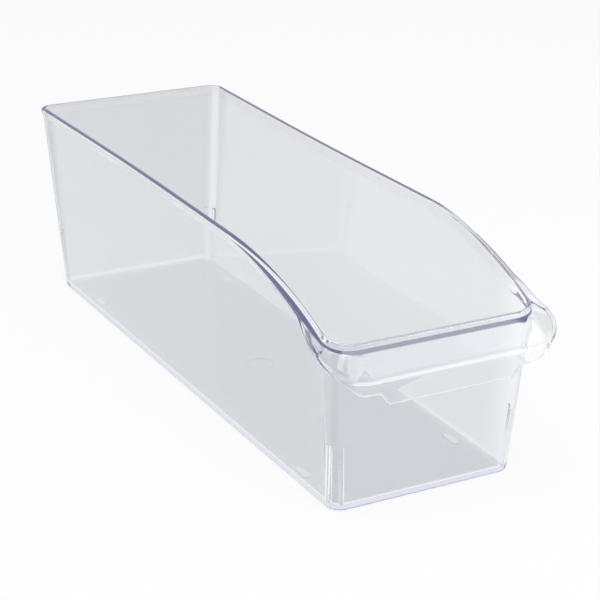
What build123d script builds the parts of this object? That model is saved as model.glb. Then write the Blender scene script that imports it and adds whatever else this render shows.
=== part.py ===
import os
from math import acos, atan2, cos, pi, sin, sqrt, tan

from build123d import *

os.makedirs("parts", exist_ok=True)

# A clear moulded bin for a refrigerator shelf: long and narrow, open on top, with four drafted
# walls, a rim that sweeps down to a lower front, and a hooded pull that wraps round the front.
# Millimetres. The pull faces -Y, +Z is up. The origin is on the shelf, under the middle of the
# whole bin's length and width.

# Rim, measured over its outer faces
length = 300.0
width = 100.0
height = 94.0  # back rim above the shelf
front_drop = 19.0  # front rim below the back rim
corner = 6.5  # upright corners, outside the walls
front_corner = 12.3  # what the two front corners open out to at the front rim
bead_over = 0.7  # the rim band stands this far out of the wall
bead_high = 3.4
bead_round = 0.8

# Sweep of the rim, seen from the side: a long crest that runs straight into a short dip
crest_radius = 180.0
dip_radius = 30.0
dip_end = 1.9  # the dip runs out this far behind the front face

# Base and walls
side_setback = 7.5  # bottom edge inside the side rim
front_setback = 8.5  # bottom edge behind the front rim
back_setback = 8.0  # bottom edge ahead of the back rim
base_round = 2.0  # outer edge between walls and floor
wall = 2.0
floor_thick = 2.2
floor_round = 1.2  # inner edge between walls and floor

# Upright ribs in the lower corners, which stop stacked bins from jamming
rib_high = 29.2  # above the bottom of the floor
rib_wide = 2.2
rib_deep = 1.3
rib_from_end = 4.7  # rib on a long wall, its middle to the end wall
rib_from_side = 3.2  # rib on an end wall, its middle to the long wall

# Feet under the floor
foot_high = 0.8
foot_long = 10.5
foot_wide = 3.6
foot_inset = 7.5  # middle of a foot inside the bottom edge of the long wall
foot_setback = 36.0  # middle of a foot behind the bottom edge of the end wall
foot_bevel = 0.3

# Shallow round recess under the middle of the floor, where the plastic was injected
gate_wide = 14.0
gate_deep = 0.4

# Pull: it starts as a narrow lip along the sweep of each side rim, turns into a sloped hood that
# wraps the front corners, and ends in a skirt. Runs are measured along its outer edge.
pull_reach = 8.0  # outer edge in front of the front rim
pull_out = 3.3  # outer edge beside the side rim
pull_corner = 11.0
pull_back = 72.0  # it starts this far behind the front rim
lip_wide = 1.8
lip_grow = 12.0  # run over which the lip reaches its width
lip_run = 43.0  # run at which it starts to widen into the hood
pull_drop = 13.6  # outer edge below the front rim
fall_start = 58.0  # run at which the outer edge leaves the line of the rim
fall_end = 93.0
pull_wall = 2.0
pull_tip = 0.9  # rounding of the outer edge
skirt_corner = 4.7
skirt_middle = 9.8
skirt_start = 75.0
skirt_full = 89.0
grip_half = 30.0  # half of the deep middle stretch
grip_step = 5.0  # width of the step at its ends

# Derived places
front_height = height - front_drop
half_base = width / 2 - side_setback
back_y = (length + pull_reach) / 2
front_y = back_y - length
base_front = front_y + front_setback
base_back = back_y - back_setback
floor_z = foot_high + floor_thick
over = 2 * wall  # how far cutting shapes pass what they cut
sweep = acos(1 - front_drop / (crest_radius + dip_radius))  # steepest slope of the rim
low_y = front_y + dip_end
turn_over_y = low_y + dip_radius * sin(sweep)
crest_y = turn_over_y + crest_radius * sin(sweep)


def walls(z0, z1, grow=0.0):
    """solid block inside the walls' outer faces from z0 to z1, moved outward by grow"""
    with BuildPart() as block:
        for z in (z0, z1):
            side = (z - foot_high) / (height - foot_high)
            front = (z - foot_high) / (front_height - foot_high)
            x = half_base + (side_setback - bead_over) * side + grow
            y0 = base_front - (front_setback - bead_over) * front - grow
            y1 = base_back + (back_setback - bead_over) * side + grow
            with BuildSketch(Plane.XY.offset(z)) as plan:
                with BuildLine():
                    Polyline((-x, y0), (x, y0), (x, y1), (-x, y1), close=True)
                make_face()
                front_turn = corner + (front_corner - corner) * front + grow
                fillet(plan.vertices().group_by(Axis.Y)[0], front_turn)
                fillet(plan.vertices().group_by(Axis.Y)[-1], corner + grow)
        loft(ruled=True)
    return block.part


def under_rim(drop):
    """side view of everything that lies lower than the rim's top line moved down by drop"""
    y1, y0 = back_y + over, front_y - over
    top, low = height - drop, front_height - drop
    with BuildSketch(Plane.YZ) as side:
        with BuildLine():
            level = Line((y1, top), (crest_y, top))
            turn_over_z = top - crest_radius * (1 - cos(sweep))
            crest = TangentArc(level @ 1, (turn_over_y, turn_over_z), tangent=level % 1)
            TangentArc(crest @ 1, (low_y, low), tangent=crest % 1)
            Polyline((low_y, low), (y0, low), (y0, -over), (y1, -over), (y1, top))
        make_face()
    return side.sketch


def rim_height(y):
    """height of the rim's top line at y"""
    if y >= crest_y:
        return height
    if y > turn_over_y:
        return height - crest_radius + sqrt(crest_radius**2 - (crest_y - y) ** 2)
    if y > low_y:
        return front_height + dip_radius - sqrt(dip_radius**2 - (y - low_y) ** 2)
    return front_height


def ease(t):
    """0 to 1, level at both ends"""
    t = min(max(t, 0.0), 1.0)
    return t * t * (3 - 2 * t)


# Ribs: upright columns in the corners, kept only where they stand out of the walls by rib_deep
with BuildPart() as ribs:
    in_x, in_front, in_back = half_base - wall, base_front + wall, base_back - wall
    block = width / 2 - in_x + rib_deep + over
    with BuildSketch(Plane.XY.offset(foot_high)) as rib_plan:
        for sx in (1, -1):
            for y_in, sy in ((in_front, 1), (in_back, -1)):
                with Locations((sx * (in_x - rib_deep - over + block / 2), y_in + sy * rib_from_end)):
                    Rectangle(block, rib_wide)
                with Locations((sx * (in_x - rib_from_side), y_in + sy * (rib_deep + over - block / 2))):
                    Rectangle(rib_wide, block)
    extrude(amount=rib_high)
    add(walls(0, height, -wall - rib_deep), mode=Mode.SUBTRACT)

# Hollow of the bin, with the ribs left standing in it
with BuildPart() as hollow:
    add(walls(floor_z, height + over, -wall))
    fillet(hollow.faces().sort_by(Axis.Z)[0].edges(), floor_round)
    add(ribs.part, mode=Mode.SUBTRACT)

# Tub: floor and four drafted walls, up to the underside of the rim band
with BuildPart() as tub:
    add(walls(foot_high, height + over))
    fillet(tub.faces().sort_by(Axis.Z)[0].edges(), base_round)
    extrude(under_rim(bead_high), amount=width, both=True, mode=Mode.INTERSECT)
    add(hollow.part, mode=Mode.SUBTRACT)
    with BuildSketch(Plane.XY.offset(foot_high)):
        with Locations((0, (base_front + base_back) / 2)):
            Circle(gate_wide / 2)
    extrude(amount=gate_deep, mode=Mode.SUBTRACT)
tub.part.label = "tub"
export_step(tub.part, "parts/tub.step")

# Outside of the rim band, closed across the opening
with BuildPart() as band_block:
    low = front_height - bead_high - over
    add(walls(low, height + over, bead_over))
    extrude(under_rim(bead_high), amount=width, both=True, mode=Mode.SUBTRACT)

# Rim band all round the opening, following the sweep of the walls
with BuildPart() as rim_bead:
    add(band_block.part)
    extrude(under_rim(0), amount=width, both=True, mode=Mode.INTERSECT)
    add(hollow.part, mode=Mode.SUBTRACT)
    tops = rim_bead.faces().filter_by(lambda f: f.normal_at().Z > 0.5)
    around = [e for f in tops for e in f.edges()]
    fillet([e for e in around if sum(e.is_same(o) for o in around) == 1], bead_round)
rim_bead.part.label = "rim_bead"
export_step(rim_bead.part, "parts/rim_bead.step")


# Pull. Its outer edge is followed from the side rim, round the front corner, to the middle.
tail_y = front_y + pull_back
turn_y = front_y - pull_reach + pull_corner
turn_x = width / 2 + pull_out - pull_corner
side_run = tail_y - turn_y
arc_run = pull_corner * pi / 2


def hook(origin, out, rim_at, edge_at, y, run):
    """upright section of the pull, in the plane through origin that faces along out"""
    grown = ease((run - lip_run) / (side_run - lip_run))
    spring = rim_height(y) - bead_round - (bead_high - 2 * bead_round) * grown
    edge = rim_height(y) - pull_tip
    edge -= (pull_drop - pull_tip) * ease((run - fall_start) / (fall_end - fall_start))
    slope = atan2(max(spring - edge, 0.0), edge_at - rim_at)
    inner = edge - pull_wall * (1 - sin(slope)) / cos(slope)
    deep = skirt_corner * ease((run - skirt_start) / (skirt_full - skirt_start))
    middle = ease((run - side_run - arc_run - turn_x + grip_half) / grip_step + 0.5)
    deep += (skirt_middle - skirt_corner) * middle
    low = min(edge - deep, inner - pull_tip / 2)
    back = rim_at - pull_wall - over
    rise = tan(slope)
    with BuildSketch(Plane(origin, x_dir=out, z_dir=(out[1], -out[0], 0))) as cut:
        with BuildLine():
            Polyline(
                (back, edge + (edge_at - back) * rise), (edge_at, edge), (edge_at, low),
                (edge_at - pull_wall, low), (edge_at - pull_wall, inner),
                (back, inner + (edge_at - pull_wall - back) * rise), close=True,
            )
        make_face()
        fillet(cut.vertices().group_by(Axis.X)[-1].sort_by(Axis.Y)[-1], pull_tip)
    return cut.sketch


def side_section(run):
    """section across a long side, this far along the outer edge from where it starts"""
    y = tail_y - run
    t = max(run - lip_run, 0.0) / (side_run - lip_run)
    out = lip_wide * ease(run / lip_grow) + (pull_out - lip_wide) * (1 - (1 - t) ** 2)
    return hook((0, y, 0), (1, 0, 0), width / 2, width / 2 + out, y, run)


def corner_section(turn):
    """section through the corner's middle, turned by this many radians from the side"""
    out = (cos(turn), -sin(turn), 0)
    rim_turn = front_corner + bead_over
    dx, dy = turn_x - width / 2 + rim_turn, turn_y - front_y - rim_turn
    along = dx * out[0] + dy * out[1]
    rim_at = sqrt(along**2 - dx**2 - dy**2 + rim_turn**2) - along
    y = turn_y - pull_corner * sin(turn)
    return hook((turn_x, turn_y, 0), out, rim_at, pull_corner, y, side_run + pull_corner * turn)


def front_section(x):
    """section across the front, x from the middle"""
    run = side_run + arc_run + turn_x - x
    return hook((x, 0, 0), (0, -1, 0), -front_y, pull_reach - front_y, front_y, run)


starts, steps = 4, 7
places = [side_section(lip_grow * i / starts) for i in range(1, starts)]
places += [side_section(lip_grow + (lip_run - lip_grow) * i / starts) for i in range(starts)]
places += [side_section(lip_run + (side_run - lip_run) * i / steps) for i in range(steps)]
places += [corner_section(pi / 2 * i / steps) for i in range(steps)]
bend = [turn_x - (fall_end - side_run - arc_run) * i / 3 for i in range(4)]
bend += [grip_half + grip_step * (0.5 - i / 6) for i in range(7)]
places += [front_section(x) for x in sorted(bend, reverse=True)] + [front_section(0)]

with BuildPart() as pull_handle:
    loft(places, ruled=True)
    mirror(about=Plane.YZ)
    add(walls(foot_high, height + 4 * over), mode=Mode.SUBTRACT)
    add(band_block.part, mode=Mode.SUBTRACT)
pull_handle.part.label = "pull_handle"
export_step(pull_handle.part, "parts/pull_handle.step")

# Feet: four low pads with rounded ends, which keep the floor off the shelf
for y_name, foot_y in (("front", base_front + foot_setback), ("back", base_back - foot_setback)):
    for x_name, foot_x in (("left", foot_inset - half_base), ("right", half_base - foot_inset)):
        with BuildPart() as foot:
            with BuildSketch():
                with Locations((foot_x, foot_y)):
                    SlotOverall(foot_long, foot_wide, rotation=90)
            extrude(amount=foot_high)
            chamfer(foot.faces().sort_by(Axis.Z)[0].edges(), foot_bevel)
        foot.part.label = f"foot_{y_name}_{x_name}"
        export_step(foot.part, f"parts/foot_{y_name}_{x_name}.step")
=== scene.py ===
from math import acos, atan2, cos, hypot, pi, radians, sin, sqrt, tan

import bmesh
import bpy
from mathutils import Matrix, Vector


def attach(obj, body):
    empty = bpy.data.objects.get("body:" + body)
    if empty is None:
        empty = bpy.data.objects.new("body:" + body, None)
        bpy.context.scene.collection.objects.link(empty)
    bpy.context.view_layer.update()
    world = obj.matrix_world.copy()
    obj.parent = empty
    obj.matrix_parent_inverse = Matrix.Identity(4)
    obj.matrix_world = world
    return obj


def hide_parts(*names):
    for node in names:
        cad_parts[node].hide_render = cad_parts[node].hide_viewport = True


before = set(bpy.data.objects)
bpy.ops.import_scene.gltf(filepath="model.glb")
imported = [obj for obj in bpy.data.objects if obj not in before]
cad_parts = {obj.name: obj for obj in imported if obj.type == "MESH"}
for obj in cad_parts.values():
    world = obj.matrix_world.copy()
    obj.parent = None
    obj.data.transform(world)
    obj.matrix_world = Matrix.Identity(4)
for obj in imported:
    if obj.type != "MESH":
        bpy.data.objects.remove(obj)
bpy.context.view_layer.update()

scene = bpy.context.scene
scene.view_settings.view_transform = "Standard"


# The bin. One injection moulding in clear, stiff plastic: a floor, four drafted walls, a rim band
# that sweeps down towards the front, and a hooded pull round the front. Nothing is joined on, so
# it is one closed skin, and stands for all the named regions of the CAD model.
length, width, height = 0.300, 0.100, 0.094
pull_reach = 0.008  # how far the pull stands out past the front rim
back_y = (length + pull_reach) / 2
front_y = back_y - length

# Rim line seen from the side: level, a long crest, a short dip, and level again at the front
front_drop, crest_radius, dip_radius, dip_end = 0.019, 0.180, 0.030, 0.0019
front_height = height - front_drop
sweep = acos(1 - front_drop / (crest_radius + dip_radius))  # steepest slope of the line
low_y = front_y + dip_end
turn_over_y = low_y + dip_radius * sin(sweep)
crest_y = turn_over_y + crest_radius * sin(sweep)


def rim_height(y):
    """height of the rim line"""
    if y >= crest_y:
        return height
    if y > turn_over_y:
        return height - crest_radius + sqrt(crest_radius**2 - (crest_y - y) ** 2)
    if y > low_y:
        return front_height + dip_radius - sqrt(dip_radius**2 - (y - low_y) ** 2)
    return front_height


# Walls: they lean outward, the front corners open out towards the rim, and the long sides draw
# in a little between the corners. The setbacks are the lean, from the rim's edge to the base.
foot_high = 0.0008
side_setback, front_setback, back_setback = 0.0075, 0.0085, 0.008
corner, front_corner, least_corner = 0.0065, 0.0123, 0.0002
side_bow, bow_end, bow_fade = 0.0013, -0.073, 1.5
bead_over = 0.0007  # how far the rim band stands out from the walls
rim_turn = front_corner + bead_over
side_lean = (side_setback - bead_over) / (height - foot_high)
back_lean = (back_setback - bead_over) / (height - foot_high)
front_lean = (front_setback - bead_over) / (front_height - foot_high)


def faces(z, grow=0.0):
    """the walls' outer faces at height z, moved outward by grow: half the width, front and back"""
    half = width / 2 - side_setback + side_lean * (z - foot_high) + grow
    y_front = front_y + front_setback - front_lean * (z - foot_high) - grow
    y_back = back_y - back_setback + back_lean * (z - foot_high) + grow
    return half, y_front, y_back


def outline(station, z, grow=0.0):
    """point of the walls' outer face at height z and this station, moved outward by grow"""
    stretch, t = station
    half, y_front, y_back = faces(z, grow)
    opened = (z - foot_high) / (front_height - foot_high)
    r_back = max(corner + grow, least_corner)
    r_front = max(corner + (front_corner - corner) * opened + grow, least_corner)
    if stretch == "back":
        return Vector(((half - r_back) * t, y_back, z))
    if stretch == "back_turn":
        a = pi / 2 * (1 - t)
        return Vector((half - r_back + r_back * cos(a), y_back - r_back + r_back * sin(a), z))
    if stretch == "side":
        y = y_back - r_back + (y_front + r_front - y_back + r_back) * t
        along = (back_y - y) / (back_y - bow_end)
        draw = 0.0
        if 0 < along < 1:
            rise = max(z - foot_high, 0.0) / (height - foot_high)
            draw = side_bow * rise * sin(pi * along) ** bow_fade
        return Vector((half - draw, y, z))
    if stretch == "front_turn":
        a = pi / 2 * t
        return Vector((half - r_front + r_front * cos(a), y_front + r_front - r_front * sin(a), z))
    return Vector(((half - r_front) * (1 - t), y_front, z))


def rim_z(station):
    """height of the rim at a station, whose y depends a little on the height itself"""
    z = height
    for _ in range(4):
        z = rim_height(outline(station, z, bead_over).y)
    return z


# Stations along half the plan outline, from the middle of the back to the middle of the front.
# Each is a stretch of the outline and a share of that stretch. They are close together at the
# sweep, round the front corner, and where the skirt steps down to its deep middle.
grip_half, grip_step, grip_cuts = 0.030, 0.005, 12
sweep_share = 0.66  # where on the side the stations get closer


def steps(a, b, n):
    """n even steps from a towards b, without b itself"""
    return [a + (b - a) * i / n for i in range(n)]


grip_outer, straight_half = grip_half + grip_step / 2, width / 2 - rim_turn
grip_share = [1 - (grip_outer - grip_step * i / grip_cuts) / straight_half for i in range(grip_cuts + 1)]
share_lists = {
    "back": steps(0, 1, 8),
    "back_turn": steps(0, 1, 12),
    "side": steps(0, sweep_share, 28) + steps(sweep_share, 1, 80),
    "front_turn": steps(0, 1, 40),
    "front": steps(0, grip_share[0], 8) + grip_share + steps(grip_share[-1], 1, 10)[1:] + [1.0],
}
stations = [(stretch, t) for stretch, shares in share_lists.items() for t in shares]

# Pull, seen from above: a lip leaves the side rim, grows into a hood and turns the front corner
pull_out, pull_corner, pull_back = 0.0033, 0.011, 0.088
lip_wide, lip_grow, lip_run = 0.0004, 0.040, 0.062
tail_y = front_y + pull_back
turn_x, turn_y = width / 2 + pull_out - pull_corner, front_y - pull_reach + pull_corner
side_run, arc_run = tail_y - turn_y, pull_corner * pi / 2


def ease(t):
    """0 to 1, level at both ends"""
    t = min(max(t, 0.0), 1.0)
    return t * t * (3 - 2 * t)


def pull_edge(station):
    """outer edge of the pull: its point in plan, its outward direction, and the run along it"""
    stretch, t = station
    if stretch not in ("side", "front_turn", "front"):
        return None
    rim_point = outline(station, rim_z(station), bead_over)
    corner_from = tail_y - front_y - rim_turn
    corner_to = side_run + arc_run + turn_x - straight_half
    if stretch == "side":
        run = tail_y - rim_point.y
    elif stretch == "front_turn":
        run = corner_from + (corner_to - corner_from) * t
    else:
        run = side_run + arc_run + turn_x - rim_point.x
    if run <= 0:
        return None
    if run < side_run:
        grown = max(run - lip_run, 0.0) / (side_run - lip_run)
        wide = lip_wide * ease(run / lip_grow) + (pull_out - lip_wide) * (1 - (1 - grown) ** 2)
        return Vector((width / 2 + wide, tail_y - run, 0)), Vector((1, 0, 0)), run
    if run < side_run + arc_run:
        a = (run - side_run) / pull_corner
        out = Vector((cos(a), -sin(a), 0))
        return Vector((turn_x, turn_y, 0)) + out * pull_corner, out, run
    return Vector((side_run + arc_run + turn_x - run, front_y - pull_reach, 0)), Vector((0, -1, 0)), run


# Section of the moulding, from the floor up the inner face, over the rim and the pull, and down
# the outer face to the base. Each corner of it comes with the size of its rounding.
wall, floor_thick, floor_round, base_round, flat_run = 0.002, 0.0022, 0.0020, 0.002, 0.002
floor_z = foot_high + floor_thick
inner_rows, outer_rows = (0.12, 0.5, 0.9), (0.1, 0.5, 0.88)  # plain rows on a wall, shares of it
hair = 0.0001  # least step between two corners, which keeps their order
most_share = 0.45  # a rounding or ledge takes no more than this share of the stretch it is on

# Rim band: its upright face, the taper under it, and the chamfer on its outer top edge, which
# gets wider and higher beside the lip
bead_high, bead_round, under_round = 0.0034, 0.0007, 0.0003
band_face, band_taper, taper_round = 0.0016, 0.0030, 0.0005
chamfer_wide, chamfer_widen, chamfer_high, chamfer_grow = 0.0003, 0.0005, 0.0009, 0.0004

# Root of the lip and the hood, below the rim, and the narrow ledge between it and the slope
root_drop, root_deep, root_round = 0.0010, 0.0025, 0.0004
ledge_drop, ledge_wide, ledge_fall, ledge_inset, ledge_round = 0.0016, 0.0022, 0.0002, 0.0012, 0.0011

# Lip and hood: the fall of the outer edge round the corner, the hood's own thickness, and its
# distance from the bin's wall from which it is fully hollow
lip_drop, lip_deep, hollow_room = 0.0005, 0.0029, 0.0045
pull_drop, fall_start, fall_end, pull_wall, pull_tip = 0.0136, 0.074, 0.109, 0.002, 0.0030
edge_high, edge_round, edge_round_grow = 0.0005, 0.0006, 0.0005

# Skirt: how far it hangs below the hood's edge at the corners and in the middle
skirt_corner, skirt_middle, skirt_start, skirt_full = 0.0047, 0.0098, 0.091, 0.105


def plain_band(station, rim):
    """outer face of the rim band where it carries no lip, and its tapered underside"""
    drops = (root_drop, root_drop + 2 * hair, root_drop + 4 * hair, band_face)
    sizes = (root_round, ledge_round, pull_tip, edge_round)
    corners = [(outline(station, rim - drop, bead_over), size) for drop, size in zip(drops, sizes)]
    for k in range(3):
        corners.append((outline(station, rim - band_face - band_taper - hair * k, 0), taper_round))
    return corners


def hooded_band(station, rim, edge, lip_share):
    """root, ledge and outer edge of the lip or hood, and the taper or the hollow under it"""
    at, out, run = edge
    under = rim - bead_high
    grown = ease((run - lip_run) / (side_run - lip_run))
    sunk = root_drop + (ledge_drop - root_drop) * lip_share
    spring = rim - sunk - (root_deep - sunk) * grown
    top = rim_height(at.y) - lip_drop
    top -= (pull_drop - lip_drop) * ease((run - fall_start) / (fall_end - fall_start))
    top = min(top, spring - 2 * ledge_fall)
    root = outline(station, spring, bead_over - ledge_inset * lip_share)
    gap = max(hypot(at.x - root.x, at.y - root.y), hair / 10)
    slope = atan2(max(spring - top, 0.0), gap)
    inner = top - pull_wall * (1 - sin(slope)) / cos(slope)
    deep = skirt_corner * ease((run - skirt_start) / (skirt_full - skirt_start))
    middle = ease((run - side_run - arc_run - turn_x + grip_half) / grip_step + 0.5)
    low_hood = min(top - deep - (skirt_middle - skirt_corner) * middle, inner - edge_high)
    low_lip = rim - band_face - (lip_deep - band_face) * ease(run / lip_grow)
    low = low_lip + (low_hood - low_lip) * ease(run / lip_run)
    back = at - out * pull_wall
    room = (back - outline(station, low, bead_over if low > under else 0)).dot(out)
    hollow = ease(room / hollow_room)
    along = min(ledge_wide / gap, most_share)
    ledge = Vector((root.x + (at.x - root.x) * along, root.y + (at.y - root.y) * along, spring - ledge_fall))
    corners = [
        (root, root_round),
        (ledge, ledge_round),
        (Vector((at.x, at.y, top)), pull_tip),
        (Vector((at.x, at.y, low)), edge_round + edge_round_grow * lip_share),
    ]
    reach = (back - outline(station, inner, 0)).dot(out)
    meet = min(inner + reach * tan(slope), under - hair)
    hood_inside = [
        Vector((back.x, back.y, low)),
        Vector((back.x, back.y, min(inner, meet))),
        outline(station, meet, 0),
    ]
    for k, inside in enumerate(hood_inside):
        solid = outline(station, low - band_taper - hair * k, 0)
        corners.append((solid.lerp(inside, hollow), taper_round))
    return corners


def section(station):
    """corners of the moulding's section at a station, each with the size of its rounding"""
    rim = rim_z(station)
    edge = pull_edge(station)
    lip_share = 0.0 if edge is None else ease(edge[2] / lip_run)
    face = bead_over - ledge_inset * lip_share
    corners = [
        (outline(station, floor_z, -wall - floor_round - flat_run), 0),
        (outline(station, floor_z, -wall), floor_round),
    ]
    corners += [(outline(station, floor_z + (rim - floor_z) * k, -wall), 0) for k in inner_rows]
    corners += [
        (outline(station, rim, -wall), bead_round),
        (outline(station, rim, face - chamfer_wide - chamfer_widen * lip_share), bead_round),
        (outline(station, rim - chamfer_high - chamfer_grow * lip_share, face), bead_round),
    ]
    if edge is None:
        corners += plain_band(station, rim)
    else:
        corners += hooded_band(station, rim, edge, lip_share)
    under = min(rim - bead_high, corners[-1][0].z - 2 * hair)
    low_wall = under - 2 * hair
    corners.append((outline(station, under, 0), under_round))
    corners.append((outline(station, low_wall, 0), under_round))
    corners += [(outline(station, low_wall + (foot_high - low_wall) * k, 0), 0) for k in outer_rows]
    corners.append((outline(station, foot_high, 0), base_round))
    corners.append((outline(station, foot_high, -base_round - flat_run), 0))
    return corners


def rounded(corners, cuts=5, support=0.25):
    """the section's points, with every corner that has a size turned into a short curve"""
    points = [corners[0][0]]
    for i in range(1, len(corners) - 1):
        p, size = corners[i]
        if size == 0:
            points.append(p)
            continue
        before, after = corners[i - 1][0] - p, corners[i + 1][0] - p
        start = p + before.normalized() * min(size, before.length * most_share)
        end = p + after.normalized() * min(size, after.length * most_share)
        points.append(start + (start - p) * support)
        for k in range(cuts + 1):
            t = k / cuts
            points.append(start * (1 - t) ** 2 + p * 2 * t * (1 - t) + end * t * t)
        points.append(end + (end - p) * support)
    points.append(corners[-1][0])
    return points


# Skin: the sections of one half and their mirror images, joined in rings and closed at the floor
same_point = 2e-6
half_rings = [rounded(section(s)) for s in stations]
mirror_rings = [[Vector((-p.x, p.y, p.z)) for p in ring] for ring in half_rings[1:-1]]
skin = bmesh.new()
rows = [[skin.verts.new(p) for p in ring] for ring in half_rings + mirror_rings[::-1]]
for i, row in enumerate(rows):
    after = rows[(i + 1) % len(rows)]
    for k in range(len(row) - 1):
        skin.faces.new((row[k], row[k + 1], after[k + 1], after[k]))
skin.faces.new([row[0] for row in rows])
skin.faces.new([row[-1] for row in reversed(rows)])
bmesh.ops.remove_doubles(skin, verts=skin.verts, dist=same_point)
bmesh.ops.recalc_face_normals(skin, faces=skin.faces)
mesh = bpy.data.meshes.new("bin")
skin.to_mesh(mesh)
skin.free()
mesh.shade_smooth()
bin_body = bpy.data.objects.new("bin", mesh)
scene.collection.objects.link(bin_body)


def finished_mesh():
    """the bin's mesh with its modifiers worked in"""
    bpy.context.view_layer.update()
    return bpy.data.meshes.new_from_object(bin_body.evaluated_get(bpy.context.evaluated_depsgraph_get()))


def join_solid(name, solid, how):
    """unite a small solid with the bin, or cut it out, so that the skin stays one"""
    data = bpy.data.meshes.new(name)
    bmesh.ops.recalc_face_normals(solid, faces=solid.faces)
    solid.to_mesh(data)
    solid.free()
    tool = bpy.data.objects.new(name, data)
    scene.collection.objects.link(tool)
    cut = bin_body.modifiers.new(name, "BOOLEAN")
    cut.operation, cut.object, cut.solver = how, tool, "EXACT"
    done = finished_mesh()
    bin_body.modifiers.clear()
    bin_body.data = done
    bpy.data.objects.remove(tool)


# Corner ribs. Two short upright ribs in each lower corner, one on either wall, part of the
# moulding: they keep stacked bins from wedging into each other. They lean with their wall.
rib_high, side_rib_wide, end_rib_wide, rib_deep = 0.0292, 0.0022, 0.0017, 0.0013
rib_from_end, rib_from_side = 0.0047, 0.0032
rib_sink, rib_floor_sink, rib_round = 0.0004, 0.0008, 0.0004  # sunk into wall and floor; rounding


def rib_solid(low, high, to_wall, along_wall, wide):
    """upright rib between its middle at the floor and its middle at the top"""
    deep = Vector(to_wall) * (rib_deep / 2 + rib_sink)
    broad = Vector(along_wall) * wide / 2
    solid = bmesh.new()
    ring = []
    for middle in (low, high):
        for d, b in ((-1, -1), (1, -1), (1, 1), (-1, 1)):
            ring.append(solid.verts.new(Vector(middle) + deep * d + broad * b))
    for k in range(4):
        j = (k + 1) % 4
        solid.faces.new((ring[k], ring[j], ring[4 + j], ring[4 + k]))
    solid.faces.new(ring[0:4][::-1])
    solid.faces.new(ring[4:8])
    tops = ring[4:8]
    edges = [e for e in solid.edges if e.verts[0] in tops or e.verts[1] in tops]
    bmesh.ops.bevel(
        solid, geom=edges, offset=rib_round, segments=3, profile=0.5, affect="EDGES", clamp_overlap=True)
    return solid


rib_foot, rib_top = floor_z - rib_floor_sink, foot_high + rib_high
half_0, front_0, back_0 = faces(rib_foot, -wall)
half_1, front_1, back_1 = faces(rib_top, -wall)
from_wall = rib_deep / 2 - rib_sink  # middle of a rib inside the wall's inner face
for sx in (-1, 1):
    for y_0, y_1, sy in ((front_0, front_1, 1), (back_0, back_1, -1)):
        low = (sx * (half_0 - from_wall), y_0 + sy * rib_from_end, rib_foot)
        high = (sx * (half_1 - from_wall), y_1 + sy * rib_from_end, rib_top)
        join_solid("rib", rib_solid(low, high, (sx, 0, 0), (0, 1, 0), side_rib_wide), "UNION")
    for y_0, y_1, sy in ((front_0, front_1, 1), (back_0, back_1, -1)):
        low = (sx * (half_0 - rib_from_side), y_0 + sy * from_wall, rib_foot)
        high = (sx * (half_1 - rib_from_side), y_1 + sy * from_wall, rib_top)
        join_solid("rib", rib_solid(low, high, (0, sy, 0), (1, 0, 0), end_rib_wide), "UNION")

# Feet. Four low oblong pads of the same plastic, moulded under the floor, two near either end.
# They keep the floor itself off the shelf, so that it doesn't scratch.
foot_long, foot_wide, foot_inset, foot_setback = 0.0105, 0.0036, 0.0075, 0.036
foot_sink, foot_bevel, foot_cuts = 0.0005, 0.0003, 24
foot_xs = [sx * (width / 2 - side_setback - foot_inset) for sx in (-1, 1)]
foot_ys = (front_y + front_setback + foot_setback, back_y - back_setback - foot_setback)
for x, y in [(x, y) for x in foot_xs for y in foot_ys]:
    solid = bmesh.new()
    lower, upper = [], []
    for k in range(foot_cuts):
        a = 2 * pi * k / foot_cuts
        shift = (foot_long - foot_wide) / 2 * (1 if sin(a) >= 0 else -1)
        px, py = x + foot_wide / 2 * cos(a), y + shift + foot_wide / 2 * sin(a)
        lower.append(solid.verts.new((px, py, 0.0)))
        upper.append(solid.verts.new((px, py, foot_high + foot_sink)))
    solid.faces.new(lower[::-1])
    solid.faces.new(upper)
    for k in range(foot_cuts):
        j = (k + 1) % foot_cuts
        solid.faces.new((lower[k], lower[j], upper[j], upper[k]))
    edges = [e for e in solid.edges if e.verts[0].co.z == 0 and e.verts[1].co.z == 0]
    bmesh.ops.bevel(solid, geom=edges, offset=foot_bevel, segments=3, profile=0.5, affect="EDGES")
    join_solid("foot", solid, "UNION")

# Gate recess. A shallow round dimple under the middle of the floor, where the molten plastic
# was let into the mould. It keeps the cut-off gate from touching the shelf.
gate_wide, gate_deep, gate_slope, gate_below = 0.014, 0.0004, 0.0004, 0.001
gate_y = (front_y + front_setback + back_y - back_setback) / 2
solid = bmesh.new()
bmesh.ops.create_cone(
    solid, cap_ends=True, segments=64, radius1=gate_wide / 2, radius2=gate_wide / 2 - gate_slope,
    depth=gate_deep + gate_below,
    matrix=Matrix.Translation((0, gate_y, foot_high + (gate_deep - gate_below) / 2)),
)
join_solid("gate", solid, "DIFFERENCE")

# Shading: even across the roundings, and broken only at true edges
for face in bin_body.data.polygons:
    face.use_smooth = True
bin_body.data.set_sharp_from_angle(angle=radians(50))
even = bin_body.modifiers.new("even_shading", "WEIGHTED_NORMAL")
even.mode, even.weight, even.keep_sharp = "FACE_AREA", 100, True
shaded = finished_mesh()
bin_body.modifiers.clear()
bin_body.data = shaded
bin_body.data.name = "bin"

# Clear plastic. Glass-clear and stiff, with a faint tint, straight from a polished mould; the differences in
# its colour from wall to wall are painted shade. Light is guided a long way in its walls and comes out at
# the edges, where it is painted as a glow.
clear = bpy.data.materials.new("clear_plastic")
clear.use_nodes = True
clear.diffuse_color = (0.86, 0.90, 0.95, 0.3)
nodes, links = clear.node_tree.nodes, clear.node_tree.links
nodes.clear()
plastic = nodes.new("ShaderNodeBsdfPrincipled")
plastic.inputs["IOR"].default_value = 1.57
plastic.inputs["Transmission Weight"].default_value = 1.0


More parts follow.
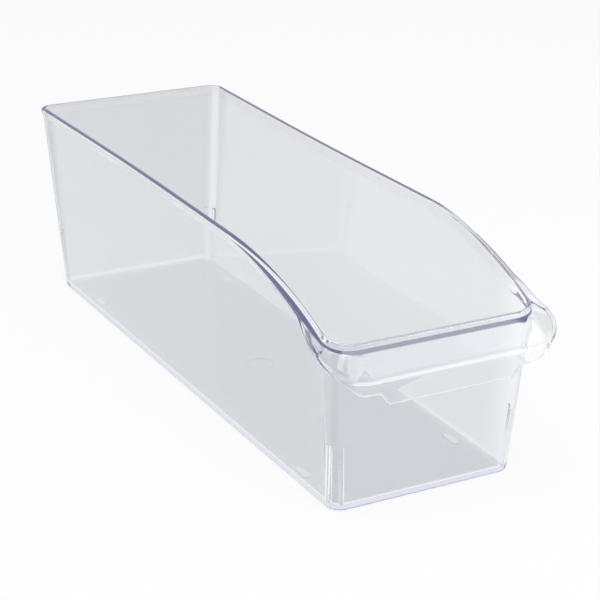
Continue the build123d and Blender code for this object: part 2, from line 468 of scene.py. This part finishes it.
def slow_step(value, start, end):
    """0 to 1 as a value passes from start to end, level at both ends"""
    step = nodes.new("ShaderNodeMapRange")
    step.interpolation_type = "SMOOTHSTEP"
    step.inputs["From Min"].default_value = start
    step.inputs["From Max"].default_value = end
    links.new(value, step.inputs["Value"])
    return step.outputs["Result"]


def two_tone(share, first, second):
    """colour that goes from first to second with share; either may be another such colour"""
    blend = nodes.new("ShaderNodeMix")
    blend.data_type = "RGBA"
    for socket, tone in ((blend.inputs[6], first), (blend.inputs[7], second)):
        if isinstance(tone, tuple):
            socket.default_value = (*tone, 1)
        else:
            links.new(tone, socket)
    links.new(share, blend.inputs["Factor"])
    return blend.outputs[2]


def number(operation, first, second=0.0):
    """result of one sum on two numbers, each of them fixed or from another node"""
    sum_node = nodes.new("ShaderNodeMath")
    sum_node.operation = operation
    for socket, value in zip(sum_node.inputs, (first, second)):
        if isinstance(value, float):
            socket.default_value = value
        else:
            links.new(value, socket)
    return sum_node.outputs[0]


# Places on the bin: which wall, corner or part of the floor a point belongs to. Each distance is
# from the middle of the bin, with the wall's lean taken off, and each share grows from far to
# near in front of a wall's inner face.
place = nodes.new("ShaderNodeTexCoord")
ways = nodes.new("ShaderNodeSeparateXYZ")
links.new(place.outputs["Object"], ways.inputs[0])
across, along, up = ways.outputs["X"], ways.outputs["Y"], ways.outputs["Z"]
inner_half, inner_front, inner_back = faces(foot_high, -wall)


def without_lean(distance, lean):
    """a distance from the middle as it would be at the base, were the wall upright"""
    return number("SUBTRACT", distance, number("MULTIPLY", up, lean))


def by_face(distance, face, far, near):
    """0 in the middle of the bin and 1 at a wall"""
    return slow_step(distance, face - far, face - near)


off_centre = number("ABSOLUTE", across)
to_side = without_lean(off_centre, side_lean)
to_back = without_lean(along, back_lean)
to_front = without_lean(number("MULTIPLY", along, -1.0), front_lean)
above_floor = slow_step(up, floor_z, floor_z + 0.0015)
near_back = by_face(to_back, inner_back, 0.0065, 0.0040)
near_front = by_face(to_front, -inner_front, 0.0040, 0.0015)
near_side = by_face(to_side, inner_half, 0.0023, 0.0003)
upright_corner = number("MULTIPLY", near_side, number("MAXIMUM", near_back, near_front))
in_back_wall = by_face(to_back, inner_back, 0.0020, 0.0005)
in_front_wall = by_face(to_front, -inner_front, 0.0020, 0.0005)
in_side_wall = by_face(to_side, inner_half, 0.0020, 0.0005)
floor_edge = number("MAXIMUM", in_side_wall, number("MAXIMUM", in_back_wall, in_front_wall))

# Faint tint of the plastic, with painted shade on top of it: the left wall pale, the right one darker, the
# back darkest and the front clearest, a painted tone of their own in the upright corners, and a floor
# painted darker in the middle and paler at its edge
left_tone_and_shade, right_tone_and_shade = (0.945, 0.958, 0.964), (0.822, 0.838, 0.845)
back_tone_and_shade, front_tone_and_shade = (0.715, 0.732, 0.745), (0.978, 0.984, 0.990)
corner_tone_and_shade = (0.865, 0.880, 0.890)
floor_tone_and_shade, floor_edge_tone_and_shade = (0.750, 0.775, 0.788), (0.935, 0.945, 0.955)
side_change = 0.030  # the left and right tones meet between these two places, left and right of the middle
side_tone_shade_mix = two_tone(slow_step(across, -side_change, side_change), left_tone_and_shade, right_tone_and_shade)
back_tone_shade_mix = two_tone(slow_step(along, back_y - 0.022, back_y - 0.008), side_tone_shade_mix, back_tone_and_shade)
front_tone_shade_mix = two_tone(slow_step(along, front_y + 0.008, front_y + 0.034), front_tone_and_shade, back_tone_shade_mix)
wall_tone_shade_mix = two_tone(upright_corner, front_tone_shade_mix, corner_tone_and_shade)
floor_tone_shade_mix = two_tone(floor_edge, floor_tone_and_shade, floor_edge_tone_and_shade)
links.new(two_tone(above_floor, floor_tone_shade_mix, wall_tone_shade_mix), plastic.inputs["Base Color"])

# Polish: a little cloudy from handling
cloudy = nodes.new("ShaderNodeTexNoise")
cloudy.inputs["Scale"].default_value = 45.0
cloudy.inputs["Detail"].default_value = 3.0
polish = nodes.new("ShaderNodeMapRange")
polish.inputs["To Min"].default_value = 0.02
polish.inputs["To Max"].default_value = 0.05
links.new(place.outputs["Object"], cloudy.inputs["Vector"])
links.new(cloudy.outputs["Fac"], polish.inputs["Value"])
links.new(polish.outputs["Result"], plastic.inputs["Roughness"])

# Relief: slow waves left by the flow of the plastic, and fine marks across the floor's mould
flow = nodes.new("ShaderNodeTexNoise")
flow.inputs["Scale"].default_value = 22.0
flow.inputs["Detail"].default_value = 1.0
marks = nodes.new("ShaderNodeTexWave")
marks.wave_type, marks.bands_direction = "BANDS", "Y"
marks.inputs["Scale"].default_value = 160.0
marks.inputs["Distortion"].default_value = 1.2
marks.inputs["Detail"].default_value = 2.0
mark_share = 0.10
relief = nodes.new("ShaderNodeBump")
relief.inputs["Strength"].default_value = 0.5
relief.inputs["Distance"].default_value = 0.0003
links.new(place.outputs["Object"], flow.inputs["Vector"])
links.new(place.outputs["Object"], marks.inputs["Vector"])
on_floor = number("MULTIPLY", marks.outputs["Fac"], number("SUBTRACT", 1.0, above_floor))
raised = number("ADD", number("MULTIPLY", on_floor, mark_share), flow.outputs["Fac"])
links.new(raised, relief.inputs["Height"])
links.new(relief.outputs["Normal"], plastic.inputs["Normal"])

# Painted glow: after its third mirroring inside the plastic a ray ends in an even emission that stands in
# for the light guided in the walls. It is painted violet in the rim and the ribs, greyer in the front rim,
# and pale at the base and on the hood.
painted_glow_rim_colour, painted_glow_front_rim_colour = (0.18, 0.18, 0.31), (0.42, 0.42, 0.50)
painted_glow_bottom_colour, painted_glow_band_colour, painted_glow_hood_colour = (0.60, 0.61, 0.68), (0.90, 0.91, 0.94), (0.84, 0.85, 0.90)
mirrored_twice = 2.5
past_side = number("MAXIMUM", number("SUBTRACT", off_centre, straight_half), 0.0)
past_front = number("MAXIMUM", number("SUBTRACT", front_y + rim_turn, along), 0.0)
past_rim = number("SQRT", number("ADD", number("POWER", past_side, 2.0), number("POWER", past_front, 2.0)))
outside_rim = slow_step(past_rim, rim_turn - 0.0006, rim_turn)
on_hood = number("MULTIPLY", outside_rim, slow_step(along, front_y + 0.042, front_y + 0.034))
left_of_bend = slow_step(across, width / 2 - 0.004, width / 2 - 0.014)
on_front_rim = number("MULTIPLY", in_front_wall, left_of_bend)
painted_glow_at_base = two_tone(slow_step(up, foot_high, foot_high + 0.0014), painted_glow_bottom_colour, painted_glow_band_colour)
painted_glow_in_rim = two_tone(on_front_rim, painted_glow_rim_colour, painted_glow_front_rim_colour)
painted_glow_up_wall = two_tone(slow_step(up, 2 * floor_z, rib_top), painted_glow_at_base, painted_glow_in_rim)
painted_glow_emission = nodes.new("ShaderNodeEmission")
links.new(two_tone(on_hood, painted_glow_up_wall, painted_glow_hood_colour), painted_glow_emission.inputs["Color"])
bent = nodes.new("ShaderNodeLightPath")
plastic_or_painted_glow = nodes.new("ShaderNodeMixShader")
links.new(number("GREATER_THAN", bent.outputs["Glossy Depth"], mirrored_twice), plastic_or_painted_glow.inputs["Fac"])
links.new(plastic.outputs["BSDF"], plastic_or_painted_glow.inputs[1])
links.new(painted_glow_emission.outputs["Emission"], plastic_or_painted_glow.inputs[2])
tint = nodes.new("ShaderNodeVolumeAbsorption")
tint.inputs["Color"].default_value = (0.42, 0.45, 0.72, 1)
tint.inputs["Density"].default_value = 8.0
clear_out = nodes.new("ShaderNodeOutputMaterial")
links.new(plastic_or_painted_glow.outputs["Shader"], clear_out.inputs["Surface"])
links.new(tint.outputs["Volume"], clear_out.inputs["Volume"])
bin_body.data.materials.clear()
bin_body.data.materials.append(clear)
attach(bin_body, "root")
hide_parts("tub", "rim_bead", "pull_handle",
            "foot_front_left", "foot_front_right", "foot_back_left", "foot_back_right")


# The table. A wide sheet of white paper that keeps the bin's soft shadow. What is seen of it,
# straight, mirrored or through the plastic, is mostly plain white, as on a lit studio table.
table_half = 6.0
table_mesh = bpy.data.meshes.new("studio_floor")
table_corners = [(-table_half, -table_half, 0), (table_half, -table_half, 0),
                 (table_half, table_half, 0), (-table_half, table_half, 0)]
table_mesh.from_pydata(table_corners, [], [(0, 1, 2, 3)])
studio_floor = bpy.data.objects.new("studio_floor", table_mesh)
scene.collection.objects.link(studio_floor)
paper = bpy.data.materials.new("white_table")
paper.use_nodes = True
nodes, links = paper.node_tree.nodes, paper.node_tree.links
nodes.clear()


def seen_ray():
    """1 for a ray from the camera, a mirrored one or one through the plastic, otherwise 0"""
    path = nodes.new("ShaderNodeLightPath")
    seen = number("MAXIMUM", path.outputs["Is Camera Ray"], path.outputs["Is Glossy Ray"])
    return number("MAXIMUM", seen, path.outputs["Is Transmission Ray"])


white_share = 0.90
matt = nodes.new("ShaderNodeBsdfDiffuse")
matt.inputs["Color"].default_value = (0.9, 0.9, 0.9, 1)
lit = nodes.new("ShaderNodeEmission")
lit.inputs["Color"].default_value = (1, 1, 1, 1)
paper_mix = nodes.new("ShaderNodeMixShader")
paper_out = nodes.new("ShaderNodeOutputMaterial")
links.new(number("MULTIPLY", seen_ray(), white_share), paper_mix.inputs["Fac"])
links.new(matt.outputs["BSDF"], paper_mix.inputs[1])
links.new(lit.outputs["Emission"], paper_mix.inputs[2])
links.new(paper_mix.outputs["Shader"], paper_out.inputs["Surface"])
table_mesh.materials.append(paper)

# The backdrop. White near the table and grey higher up, where the plastic mirrors it, with even,
# pale light from all round.
world = bpy.data.worlds.new("studio")
scene.world = world
world.use_nodes = True
nodes, links = world.node_tree.nodes, world.node_tree.links
nodes.clear()
sky = nodes.new("ShaderNodeBackground")
sky.inputs["Color"].default_value = (0.8, 0.82, 0.85, 1)
sky.inputs["Strength"].default_value = 0.45
view_way = nodes.new("ShaderNodeTexCoord")
rise = nodes.new("ShaderNodeSeparateXYZ")
links.new(view_way.outputs["Generated"], rise.inputs[0])
backdrop = nodes.new("ShaderNodeBackground")
backdrop.inputs["Strength"].default_value = 1.0
fade = two_tone(slow_step(rise.outputs["Z"], 0.06, 0.50), (1.0, 1.0, 1.0), (0.32, 0.33, 0.39))
links.new(fade, backdrop.inputs["Color"])
sky_mix = nodes.new("ShaderNodeMixShader")
sky_out = nodes.new("ShaderNodeOutputWorld")
links.new(seen_ray(), sky_mix.inputs["Fac"])
links.new(sky.outputs["Background"], sky_mix.inputs[1])
links.new(backdrop.outputs["Background"], sky_mix.inputs[2])
links.new(sky_mix.outputs["Shader"], sky_out.inputs["Surface"])


# The lamps. Wide soft boxes: one overhead, one high in front, and two low strips that draw the
# white line along the edge of the hood.
def soft_box(name, at, aim, size, power):
    """rectangular lamp at a place, turned towards a point"""
    lamp = bpy.data.lights.new(name, "AREA")
    lamp.shape, lamp.size, lamp.size_y, lamp.energy = "RECTANGLE", size[0], size[1], power
    box = bpy.data.objects.new(name, lamp)
    box.location = at
    box.rotation_euler = (Vector(aim) - Vector(at)).to_track_quat("-Z", "Y").to_euler()
    scene.collection.objects.link(box)


pull_middle = (0, -0.15, 0.065)
strip_size, strip_power = (1.0, 0.28), 2.3
soft_box("top_light", (-0.30, -0.15, 1.1), (0, 0, 0), (1.0, 0.9), 7)
soft_box("right_strip", (0.56, -1.06, 0.38), pull_middle, strip_size, strip_power)
soft_box("left_strip", (-0.55, -1.06, 0.38), pull_middle, strip_size, strip_power)
soft_box("front_soft", (0.35, -0.95, 1.05), pull_middle, (1.5, 0.75), 4.0)

# The camera. It stands left of the front and a little above, as in the photograph.
turn, tilt, roll = radians(-28.79), radians(21.52), radians(0.84)
aim, distance = Vector((0.00662, -0.01874, 0.0408)), 0.83901
sensor, focal_pixels, frame_pixels = 36.0, 1871.98, 600
toward = Vector((sin(turn) * cos(tilt), -cos(turn) * cos(tilt), sin(tilt)))
lens = bpy.data.cameras.new("camera")
lens.sensor_width, lens.lens = sensor, focal_pixels / frame_pixels * sensor
lens.clip_start, lens.clip_end = 0.05, 30
facing = toward.to_track_quat("Z", "Y").to_matrix().to_4x4() @ Matrix.Rotation(roll, 4, "Z")
camera = bpy.data.objects.new("camera", lens)
camera.matrix_world = Matrix.Translation(aim + toward * distance) @ facing
scene.collection.objects.link(camera)
scene.camera = camera
